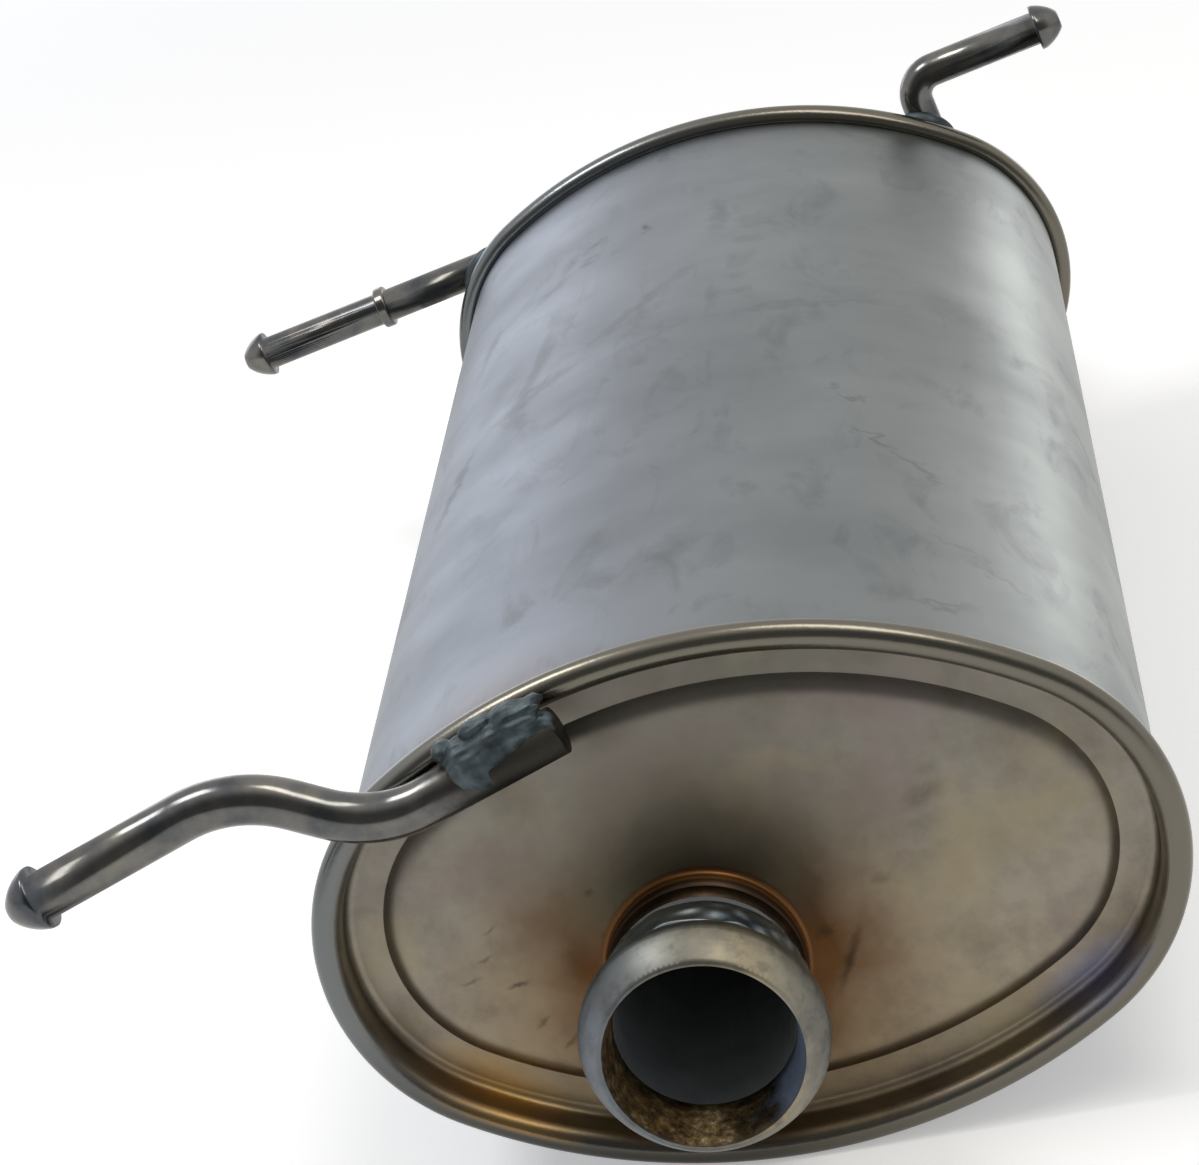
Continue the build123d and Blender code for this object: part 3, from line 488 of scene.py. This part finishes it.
def cap_sheet(name, pipe_x, pipe_z, spots):
    """Pressed steel sheet, satin on the panel and polished where the dies rolled it. Welding the pipe in
    left oxide colours round it: brown at the sides, dark grey brown above, and gold on the collar, whose
    brightest band is a painted highlight. Straw and rose patches drift over the panel. Painted shade
    darkens the panel towards the top and the roll underneath, and a painted gold highlight lies in the
    roll."""
    material, tree, shader, place = new_material(name)
    inset = add_node(tree, "Attribute", attribute_name="inset").outputs["Fac"]
    centred = add_node(tree, "VectorMath", {
        0: place, 1: (-pipe_x * MM, 0.0, -pipe_z * MM)}, operation="ADD")
    flat = add_node(tree, "VectorMath", {0: centred.outputs[0], 1: (1.0, 0.0, 1.0)}, operation="MULTIPLY")
    split = add_node(tree, "SeparateXYZ", {0: flat.outputs[0]})
    cloud = add_node(tree, "TexNoise", {"Vector": place, "Scale": 24.0, "Detail": 4.0, "Roughness": 0.6})
    mottle = add_node(tree, "TexNoise", {"Vector": place, "Scale": 75.0, "Detail": 5.0, "Roughness": 0.65})
    # Painted shade and light: darker towards the top and lighter towards the bottom, which is also warmer
    # in tone
    height = add_node(tree, "MapRange", {0: split.outputs[2], 1: -0.07, 2: 0.085})
    base = add_node(tree, "ValToRGB", {0: height.outputs[0]}, stops=[
        (0.0, "#A8997E"), (0.3, "#958A78"), (0.6, "#89847A"), (0.85, "#7A766D"), (1.0, "#66645C")])
    blotch = add_node(tree, "MapRange", {0: mottle.outputs[0], 1: 0.4, 2: 0.68, 3: 0.0, 4: 0.6})
    mottled = add_node(tree, "Mix", {
        0: blotch.outputs[0], 6: base.outputs[0], 7: colour("#665E54")}, data_type="RGBA")
    straw = add_node(tree, "MapRange", {0: cloud.outputs[0], 1: 0.5, 2: 0.66, 3: 0.0, 4: 0.6})
    strawed = add_node(tree, "Mix", {
        0: straw.outputs[0], 6: mottled.outputs[2], 7: colour("#8F846A")}, data_type="RGBA")
    rose = add_node(tree, "MapRange", {0: cloud.outputs[0], 1: 0.46, 2: 0.34, 3: 0.0, 4: 0.55})
    patched = add_node(tree, "Mix", {
        0: rose.outputs[0], 6: strawed.outputs[2], 7: colour("#7E7270")}, data_type="RGBA")
    # Distance from the pipe's axis, made uneven by noise 40 mm and 13 mm across
    radius = add_node(tree, "VectorMath", {0: flat.outputs[0]}, operation="LENGTH").outputs["Value"]
    broad = add_node(tree, "MapRange", {0: cloud.outputs[0], 1: 0.25, 2: 0.75, 3: -0.011, 4: 0.011})
    fine = add_node(tree, "MapRange", {0: mottle.outputs[0], 1: 0.25, 2: 0.75, 3: -0.005, 4: 0.005})
    wobble = add_node(tree, "Math", {0: broad.outputs[0], 1: fine.outputs[0]}, operation="ADD")
    uneven = add_node(tree, "Math", {0: radius, 1: wobble.outputs[0]}, operation="ADD")
    halo = add_node(tree, "MapRange", {0: uneven.outputs[0], 1: 0.026, 2: 0.076})
    beside = add_node(tree, "ValToRGB", {0: halo.outputs[0]}, stops=[
        (0.0, "#5E4128"), (0.12, "#5A4027"), (0.35, "#69533A"), (0.6, "#7B694E"), (1.0, "#847962")])
    above = add_node(tree, "ValToRGB", {0: halo.outputs[0]}, stops=[
        (0.0, "#66604F"), (0.2, "#665D4F"), (0.4, "#645C50"), (0.7, "#6B655B"), (1.0, "#77726A")])
    slope = add_node(tree, "Math", {0: split.outputs[2], 1: radius}, operation="DIVIDE")
    upper = add_node(tree, "MapRange", {0: slope.outputs[0], 1: 0.15, 2: 0.8})
    redden = add_node(tree, "MapRange", {0: mottle.outputs[0], 1: 0.45, 2: 0.68, 3: 0.0, 4: 0.6})
    flecked = add_node(tree, "Mix", {
        0: redden.outputs[0], 6: beside.outputs[0], 7: colour("#57351F")}, data_type="RGBA")
    tint = add_node(tree, "Mix", {
        0: upper.outputs[0], 6: flecked.outputs[2], 7: above.outputs[0]}, data_type="RGBA")
    strength = add_node(tree, "MapRange", {0: halo.outputs[0], 1: 0.15, 2: 0.95, 3: 1.0, 4: 0.0})
    tinted = add_node(tree, "Mix", {
        0: strength.outputs[0], 6: patched.outputs[2], 7: tint.outputs[2]}, data_type="RGBA")
    # Single dark specks and scratches, their edges frayed by noise 3 mm across
    fray = add_node(tree, "TexNoise", {"Vector": place, "Scale": 330.0, "Detail": 3.0})
    shift = add_node(tree, "VectorMath", {
        0: fray.outputs[1], 1: (0.003, 0.0, 0.003), 2: (-0.0015, 0.0, -0.0015)}, operation="MULTIPLY_ADD")
    frayed = add_node(tree, "VectorMath", {0: place, 1: shift.outputs[0]}, operation="ADD")
    scuffs = marks(tree, frayed.outputs[0], spots, "Y")
    scuffed = add_node(tree, "Mix", {
        0: scuffs, 6: tinted.outputs[2], 7: colour("#2E2721")}, data_type="RGBA")
    # The collar is burnt brown towards its lip and gold near its root: a gold tint brightened into a
    # painted highlight where its bend catches the light
    collar = add_node(tree, "MapRange", {0: radius, 1: 0.0274, 2: 0.0286, 3: 1.0, 4: 0.0})
    root = PANEL_DEPTH
    lip = PANEL_DEPTH - COLLAR_LENGTH
    if pipe_x == OUTLET_X:
        root, lip = CAN_LENGTH - root, CAN_LENGTH - lip
    depth = add_node(tree, "SeparateXYZ", {0: place}).outputs[1]
    along = add_node(tree, "MapRange", {0: depth, 1: lip * MM, 2: root * MM})
    burnt = add_node(tree, "ValToRGB", {0: along.outputs[0]}, stops=[
        (0.0, "#3A2E24"), (0.5, "#45362A"), (0.68, "#B08450"), (0.85, "#8A6238"), (1.0, "#5E4128")])
    gold = add_node(tree, "Mix", {
        0: collar.outputs[0], 6: scuffed.outputs[2], 7: burnt.outputs[0]}, data_type="RGBA")
    # The roll, where the inset is below about 6.5 mm, is dark: bluish grey at the left, greenish over the
    # rest, and darker still underneath, which is painted shade
    roll_side = add_node(tree, "MapRange", {0: split.outputs[0], 1: -0.1, 2: -0.03})
    roll_hue = add_node(tree, "ValToRGB", {
        0: roll_side.outputs[0]}, stops=[(0.0, "#6C6F70"), (1.0, "#6C685E")])
    # Painted shade along the bottom of the oval
    under = add_node(tree, "VectorMath", {
        0: flat.outputs[0], 1: (0.35, 0.0, 0.94)}, operation="DOT_PRODUCT")
    shade = add_node(tree, "MapRange", {0: under.outputs["Value"], 1: -0.055, 2: -0.03, 3: 0.8, 4: 0.0})
    roll_tone = add_node(tree, "Mix", {
        0: shade.outputs[0], 6: roll_hue.outputs[0], 7: colour("#45433F")}, data_type="RGBA")
    roll = add_node(tree, "MapRange", {0: inset, 1: 5.6, 2: 7.4, 3: 1.0, 4: 0.0})
    rolled = add_node(tree, "Mix", {
        0: roll.outputs[0], 6: gold.outputs[2], 7: roll_tone.outputs[2]}, data_type="RGBA")
    # Inside the roll the sheet is blued at the lower right, and at the lower left a painted gold highlight
    # lies on yellowish metal
    inner = add_node(tree, "MapRange", {0: inset, 1: 3.6, 2: 5.0})
    warm = marks(tree, frayed.outputs[0], ROLL_GOLD_HIGHLIGHT_MARKS, "Y")
    cold = marks(tree, frayed.outputs[0], ROLL_BLUE_MARKS, "Y")
    warm_inner = add_node(tree, "Math", {0: warm, 1: inner.outputs[0]}, operation="MULTIPLY")
    cold_inner = add_node(tree, "Math", {0: cold, 1: inner.outputs[0]}, operation="MULTIPLY")
    gold_highlight_roll = add_node(tree, "Mix", {
        0: warm_inner.outputs[0], 6: rolled.outputs[2], 7: colour("#B08C52")}, data_type="RGBA")
    blue_roll = add_node(tree, "Mix", {
        0: cold_inner.outputs[0], 6: gold_highlight_roll.outputs[2], 7: colour("#6C7190")}, data_type="RGBA")
    tree.links.new(blue_roll.outputs[2], shader.inputs["Base Color"])
    rough = add_node(tree, "MapRange", {0: roll.outputs[0], 1: 0.0, 2: 1.0, 3: 0.4, 4: 0.24})
    tree.links.new(rough.outputs[0], shader.inputs["Roughness"])
    grain = add_node(tree, "TexNoise", {"Vector": place, "Scale": 700.0, "Detail": 2.0})
    bump = add_node(tree, "Bump", {"Strength": 0.06, "Distance": 0.0004, "Height": grain.outputs[0]})
    wave = add_node(tree, "Bump", {
        "Strength": 0.12, "Distance": 0.003, "Height": cloud.outputs[0], "Normal": bump.outputs[0]})
    tree.links.new(wave.outputs[0], shader.inputs["Normal"])
    shader.inputs["Metallic"].default_value = 1.0
    return material


def plain_steel(name, dark, light, roughness, scale, bump_depth=0.0005):
    """Steel in two tones that drift into each other, with a slight unevenness in its gloss."""
    material, tree, shader, place = new_material(name)
    cloud = add_node(tree, "TexNoise", {"Vector": place, "Scale": scale, "Detail": 4.0, "Roughness": 0.6})
    tone = add_node(tree, "ValToRGB", {0: cloud.outputs[0]}, stops=[(0.32, dark), (0.68, light)])
    tree.links.new(tone.outputs[0], shader.inputs["Base Color"])
    rough = add_node(tree, "MapRange", {
        0: cloud.outputs[0], 1: 0.3, 2: 0.7, 3: roughness + 0.08, 4: roughness - 0.04})
    tree.links.new(rough.outputs[0], shader.inputs["Roughness"])
    bump = add_node(tree, "Bump", {"Strength": 0.15, "Distance": bump_depth, "Height": cloud.outputs[0]})
    tree.links.new(bump.outputs[0], shader.inputs["Normal"])
    shader.inputs["Metallic"].default_value = 1.0
    return material


def rod_steel(name, hot):
    """Drawn steel rod: bright under a dark skin, so that its reflections run along it in sharp bands. Near
    its weld, at hot = (x, y, z, reach) in millimetres, it is burnt to a dull brown black."""
    material, tree, shader, place = new_material(name)
    cloud = add_node(tree, "TexNoise", {"Vector": place, "Scale": 70.0, "Detail": 4.0, "Roughness": 0.6})
    tone = add_node(tree, "ValToRGB", {0: cloud.outputs[0]}, stops=[(0.32, "#4C4F53"), (0.68, "#77746D")])
    *centre, reach = (v * MM for v in hot)
    away = add_node(tree, "VectorMath", {0: place, 1: centre}, operation="DISTANCE").outputs["Value"]
    broken = add_node(tree, "Math", {0: cloud.outputs[0], 1: 0.02, 2: away}, operation="MULTIPLY_ADD")
    burnt = add_node(tree, "MapRange", {
        0: broken.outputs[0], 1: reach * 0.55 + 0.01, 2: reach + 0.01, 3: 0.95, 4: 0.0})
    skin = add_node(tree, "Mix", {
        0: burnt.outputs[0], 6: tone.outputs[0], 7: colour("#35322D")}, data_type="RGBA")
    tree.links.new(skin.outputs[2], shader.inputs["Base Color"])
    rough = add_node(tree, "MapRange", {0: burnt.outputs[0], 3: 0.18, 4: 0.5})
    tree.links.new(rough.outputs[0], shader.inputs["Roughness"])
    bump = add_node(tree, "Bump", {"Strength": 0.1, "Distance": 0.0005, "Height": cloud.outputs[0]})
    tree.links.new(bump.outputs[0], shader.inputs["Normal"])
    shader.inputs["Metallic"].default_value = 1.0
    return material


def ring_steel():
    """Turned steel ring, satin outside, greyer to the left and warmer to the right, where a light band
    right of the middle is a painted highlight. Its inner cone is rough with burnt, golden scale, and blued
    on the right, with painted light making its middle near white and painted shade darkening it right of
    that."""
    material, tree, shader, place = new_material("turned steel, satin")
    split = add_node(tree, "SeparateXYZ", {0: place})
    flat = add_node(tree, "CombineXYZ", {0: split.outputs[0], 2: split.outputs[2]})
    radius = add_node(tree, "VectorMath", {0: flat.outputs[0]}, operation="LENGTH").outputs["Value"]
    cloud = add_node(tree, "TexNoise", {"Vector": place, "Scale": 60.0, "Detail": 4.0, "Roughness": 0.6})
    # Painted highlight: the light yellowish band right of the middle, with bluish grey to the left
    side = add_node(tree, "MapRange", {0: split.outputs[0], 1: -0.03, 2: 0.03})
    base = add_node(tree, "ValToRGB", {0: side.outputs[0]}, stops=[
        (0.0, "#6E7680"), (0.35, "#71736F"), (0.62, "#857E6C"), (0.75, "#A09478"), (1.0, "#8C8A80")])
    drift = add_node(tree, "MapRange", {0: cloud.outputs[0], 1: 0.35, 2: 0.65, 3: 0.0, 4: 0.75})
    coat = add_node(tree, "Mix", {
        0: drift.outputs[0], 6: base.outputs[0], 7: colour("#5A5955")}, data_type="RGBA")
    stain = add_node(tree, "TexNoise", {"Vector": place, "Scale": 190.0, "Detail": 4.0, "Roughness": 0.65})
    stained = add_node(tree, "MapRange", {0: stain.outputs[0], 1: 0.5, 2: 0.7, 3: 0.0, 4: 0.6})
    outer = add_node(tree, "Mix", {
        0: stained.outputs[0], 6: coat.outputs[2], 7: colour("#4C4E50")}, data_type="RGBA")
    # Scale in grains about 3 mm across, its golden colour its own and its brightest grains painted glints
    grit = add_node(tree, "TexNoise", {"Vector": place, "Scale": 330.0, "Detail": 4.0, "Roughness": 0.7})
    burnt = add_node(tree, "ValToRGB", {0: grit.outputs[0]}, stops=[
        (0.34, "#4A4030"), (0.46, "#8A7350"), (0.56, "#B89C6C"), (0.66, "#F4E6BE")])
    # Painted light and shade across the cone: near white in the middle and dark to the right of it
    across = add_node(tree, "MapRange", {0: split.outputs[0], 1: -0.024, 2: 0.024})
    drifted = add_node(tree, "Math", {
        0: cloud.outputs[0], 1: 0.5, 2: across.outputs[0]}, operation="MULTIPLY_ADD")
    sides = add_node(tree, "ValToRGB", {0: drifted.outputs[0]}, stops=[
        (0.3, "#8A8478"), (0.5, "#B4AA98"), (0.72, "#FFFFFF"), (0.88, "#9A968C"), (1.0, "#5A5C60")])
    shaded = add_node(tree, "Mix", {
        0: 1.0, 6: burnt.outputs[0], 7: sides.outputs[0]}, data_type="RGBA", blend_type="MULTIPLY")
    blue_side = add_node(tree, "MapRange", {0: drifted.outputs[0], 1: 1.0, 2: 1.12, 3: 0.0, 4: 0.9})
    cone = add_node(tree, "Mix", {
        0: blue_side.outputs[0], 6: shaded.outputs[2], 7: colour("#7F8FA8")}, data_type="RGBA")
    inside = add_node(tree, "MapRange", {0: radius, 1: 0.0253, 2: 0.0258, 3: 1.0, 4: 0.0})
    tone = add_node(tree, "Mix", {
        0: inside.outputs[0], 6: outer.outputs[2], 7: cone.outputs[2]}, data_type="RGBA")
    tree.links.new(tone.outputs[2], shader.inputs["Base Color"])
    rough = add_node(tree, "MapRange", {0: inside.outputs[0], 1: 0.0, 2: 1.0, 3: 0.44, 4: 0.45})
    tree.links.new(rough.outputs[0], shader.inputs["Roughness"])
    # Turning marks run round the ring, and the scale stands up inside
    turned = add_node(tree, "CombineXYZ", {0: radius, 1: split.outputs[1]})
    tooling = add_node(tree, "TexNoise", {"Vector": turned.outputs[0], "Scale": 900.0, "Detail": 1.0})
    fine = add_node(tree, "Bump", {"Strength": 0.08, "Distance": 0.0003, "Height": tooling.outputs[0]})
    deep = add_node(tree, "MapRange", {0: inside.outputs[0], 3: 0.0, 4: 0.5})
    metal = add_node(tree, "MapRange", {0: inside.outputs[0], 3: 1.0, 4: 0.35})
    tree.links.new(metal.outputs[0], shader.inputs["Metallic"])
    bump = add_node(tree, "Bump", {
        "Strength": deep.outputs[0], "Distance": 0.0012, "Height": grit.outputs[0],
        "Normal": fine.outputs[0]})
    tree.links.new(bump.outputs[0], shader.inputs["Normal"])
    return material


def soot():
    """Soot baked on steel: a matt grey coat, dark where no light gets in."""
    material, tree, shader, place = new_material("soot on steel")
    cloud = add_node(tree, "TexNoise", {"Vector": place, "Scale": 90.0, "Detail": 4.0})
    tone = add_node(tree, "ValToRGB", {0: cloud.outputs[0]}, stops=[(0.3, "#686B6D"), (0.7, "#76797B")])
    tree.links.new(tone.outputs[0], shader.inputs["Base Color"])
    bump = add_node(tree, "Bump", {"Strength": 0.3, "Distance": 0.0005, "Height": cloud.outputs[0]})
    tree.links.new(bump.outputs[0], shader.inputs["Normal"])
    shader.inputs["Roughness"].default_value = 0.8
    return material


def glass_wool():
    """Matted glass fibre, yellowish and matt."""
    material, tree, shader, place = new_material("matted glass wool")
    fibre = add_node(tree, "TexNoise", {"Vector": place, "Scale": 300.0, "Detail": 6.0, "Roughness": 0.7})
    tone = add_node(tree, "ValToRGB", {0: fibre.outputs[0]}, stops=[(0.3, "#C9BE93"), (0.7, "#E6DDB8")])
    tree.links.new(tone.outputs[0], shader.inputs["Base Color"])
    bump = add_node(tree, "Bump", {"Strength": 0.6, "Distance": 0.001, "Height": fibre.outputs[0]})
    tree.links.new(bump.outputs[0], shader.inputs["Normal"])
    shader.inputs["Roughness"].default_value = 0.95
    return material


SHELL = shell_sheet()
FRONT_CAP = cap_sheet("pressed steel sheet, heat tinted", 0.0, 0.0, FRONT_CAP_MARKS)
REAR_CAP = cap_sheet("pressed steel sheet, heat tinted at the tail", OUTLET_X, OUTLET_Z, REAR_CAP_MARKS)
RING = ring_steel()
TUBE = plain_steel("drawn steel tube", "#5C5B58", "#77756F", 0.34, 50.0)
BORE = soot()
HANGER_WELD = plain_steel("weld metal, blued", "#33393C", "#5C666A", 0.5, 120.0, 0.0012)
RING_WELD = plain_steel("weld metal, blue and silver", "#3E4A57", "#A9AFAC", 0.38, 75.0, 0.001)
NECK_WELD = plain_steel("weld metal, browned", "#241E19", "#4A3A2A", 0.35, 150.0)
INNER = plain_steel("pressed steel, plain", "#6E6E6B", "#858580", 0.42, 40.0)
WOOL = glass_wool()


# The can

shell_piece(SHELL)
end_cap("front_end_cap", (0.0, 0.0), INLET_RADIUS, False, FRONT_CAP)
end_cap("rear_end_cap", (OUTLET_X, OUTLET_Z), OUTLET_RADIUS, True, REAR_CAP)
for node in ("front_baffle", "middle_baffle", "rear_baffle"):
    smooth_copy(node, INNER)
smooth_copy("wool_packing", WOOL)
smooth_copy("shell_seam_weld", HANGER_WELD)

# The pipes

smooth_copy("inlet_tube", BORE)
smooth_copy("outlet_tube", TUBE)
smooth_copy("transfer_tube", TUBE)
smooth_copy("tail_pipe", TUBE)
smooth_copy("tail_pipe_weld", RING_WELD)
smooth_copy("inlet_ring", RING)
ring_bead(
    "ring_bead", INLET_RADIUS, RING_WELD_HEIGHT, RING_BACK, RING_WELD_LENGTH, RING_WELD,
    ["inlet_ring_weld"])
smooth_copy("inlet_collar_weld", NECK_WELD)

# The hangers

weld_heading = math.radians(FRONT_WELD_ANGLE)
outwards = np.array([math.cos(weld_heading), 0.0, math.sin(weld_heading)])
along_rim = np.array([outwards[2], 0.0, -outwards[0]])
weld_middle = np.array([CAN_X, FRONT_WELD_Y, CAN_Z - crown_drop]) + outwards * (crown_radius - ROLL_RADIUS)
weld_lump(
    "front_hanger_lump", weld_middle - outwards * FRONT_WELD_SINK, FRONT_WELD_ANGLE, FRONT_WELD_LOBES,
    FRONT_WELD_RIPPLE, HANGER_WELD, ["front_hanger_weld"])
front_heat = (*(weld_middle + FRONT_HEAT_SHIFT * along_rim), FRONT_HEAT_REACH)
FRONT_ROD = rod_steel("drawn steel rod, burnt at the front weld", front_heat)
REAR_LEFT_ROD = rod_steel("drawn steel rod, burnt at the rear left weld", REAR_LEFT_HEAT)
REAR_RIGHT_ROD = rod_steel("drawn steel rod, burnt at the rear right weld", REAR_RIGHT_HEAT)
smooth_copy("front_hanger_rod", FRONT_ROD)
smooth_copy("rear_left_hanger_rod", REAR_LEFT_ROD)
smooth_copy("rear_right_hanger_rod", REAR_RIGHT_ROD)
for node in ("rear_left_rim_weld", "rear_left_foot_weld", "rear_right_rim_weld", "rear_right_foot_weld"):
    smooth_copy(node, HANGER_WELD)


# Floor, light and camera, in metres

FLOOR_SIZE = 6.0            # half its side


def placed(right, up, back, place):
    """An object's matrix from its three axes and its place."""
    return Matrix(np.vstack([np.column_stack([right, up, back, place]), [0, 0, 0, 1]]).tolist())


def backdrop():
    """A wide pale floor under the rims. It looks white to the camera and to the metal, and keeps the
    shadow."""
    low = cad_box[0][2]
    corners = [(x * FLOOR_SIZE, y * FLOOR_SIZE, low) for x, y in ((-1, -1), (1, -1), (1, 1), (-1, 1))]
    mesh = bpy.data.meshes.new("floor")
    mesh.from_pydata(corners, [], [(0, 1, 2, 3)])
    floor = bpy.data.objects.new("floor", mesh)
    bpy.context.scene.collection.objects.link(floor)
    material = bpy.data.materials.new("pale floor")
    material.use_nodes = True
    tree = material.node_tree
    tree.nodes.clear()
    matt = add_node(tree, "BsdfDiffuse", {"Color": colour("#F4F4F4")})
    glow = add_node(tree, "Emission", {"Color": (1.0, 1.0, 1.0, 1.0), "Strength": 0.32})
    both = add_node(tree, "AddShader", {0: matt.outputs[0], 1: glow.outputs[0]})
    path = add_node(tree, "LightPath")
    seen = add_node(tree, "Math", {
        0: path.outputs["Is Camera Ray"], 1: path.outputs["Is Glossy Ray"]}, operation="MAXIMUM")
    mixed = add_node(tree, "MixShader", {0: seen.outputs[0], 1: matt.outputs[0], 2: both.outputs[0]})
    add_node(tree, "OutputMaterial", {"Surface": mixed.outputs[0]})
    mesh.materials.append(material)


def soft_light(name, place, target, size, power, tint):
    """A rectangular area lamp turned to its target."""
    lamp = bpy.data.lights.new(name, "AREA")
    lamp.shape = "RECTANGLE"
    lamp.size, lamp.size_y = size
    lamp.energy = power
    lamp.color = colour(tint)[:3]
    holder = bpy.data.objects.new(name, lamp)
    bpy.context.scene.collection.objects.link(holder)
    back = np.array(place, float) - np.array(target, float)
    back /= np.linalg.norm(back)
    right = np.cross((0.0, 0.0, 1.0), back)
    right /= np.linalg.norm(right)
    up = np.cross(back, right)
    holder.matrix_world = placed(right, up, back, place)


backdrop()
soft_light("key", (-0.8, 0.1, 1.45), (0.0, 0.2, 0.0), (0.5, 0.5), 8.0, "#FFFFFF")
soft_light("top", (0.45, -0.25, 1.5), (0.05, 0.15, 0.0), (0.35, 0.9), 6.0, "#FFFBF2")
soft_light("left", (-1.1, 2.0, 0.45), (0.0, 0.2, 0.0), (1.3, 0.7), 3.2, "#E6EEFF")
soft_light("right", (1.1, 2.0, 0.35), (0.0, 0.2, 0.0), (0.9, 0.6), 2.8, "#FFFFFF")

world = bpy.data.worlds.new("studio")
bpy.context.scene.world = world
world.use_nodes = True
tree = world.node_tree
tree.nodes.clear()
path = add_node(tree, "LightPath")
# The metal sees a white room whose front side, behind the camera, is dimmer
way = add_node(tree, "SeparateXYZ", {0: add_node(tree, "TexCoord").outputs["Generated"]})
dim = add_node(tree, "MapRange", {
    0: way.outputs[1], 1: -0.8, 2: -0.2, 3: 0.2, 4: 1.0}, interpolation_type="SMOOTHSTEP")
plain = add_node(tree, "Background", {"Color": (1.0, 1.0, 1.0, 1.0), "Strength": 0.45})
room = add_node(tree, "Background", {"Color": (1.0, 1.0, 1.0, 1.0), "Strength": dim.outputs[0]})
white = add_node(tree, "Background", {"Color": (1.0, 1.0, 1.0, 1.0), "Strength": 1.0})
shone = add_node(tree, "MixShader", {
    0: path.outputs["Is Glossy Ray"], 1: plain.outputs[0], 2: room.outputs[0]})
mixed = add_node(tree, "MixShader", {
    0: path.outputs["Is Camera Ray"], 1: shone.outputs[0], 2: white.outputs[0]})
add_node(tree, "OutputWorld", {"Surface": mixed.outputs[0]})

bpy.context.scene.view_settings.view_transform = "Standard"

camera_data = bpy.data.cameras.new("camera")
camera_data.sensor_fit = "HORIZONTAL"
camera_data.sensor_width = 36.0
camera_data.lens = 118.74
camera = bpy.data.objects.new("camera", camera_data)
bpy.context.scene.collection.objects.link(camera)
camera.matrix_world = placed(
    right=(0.97602, 0.04613, -0.21272), up=(0.18042, 0.37527, 0.90919),
    back=(0.12176, -0.92577, 0.35795), place=(0.115986, -0.913875, 0.465731))
bpy.context.scene.camera = camera
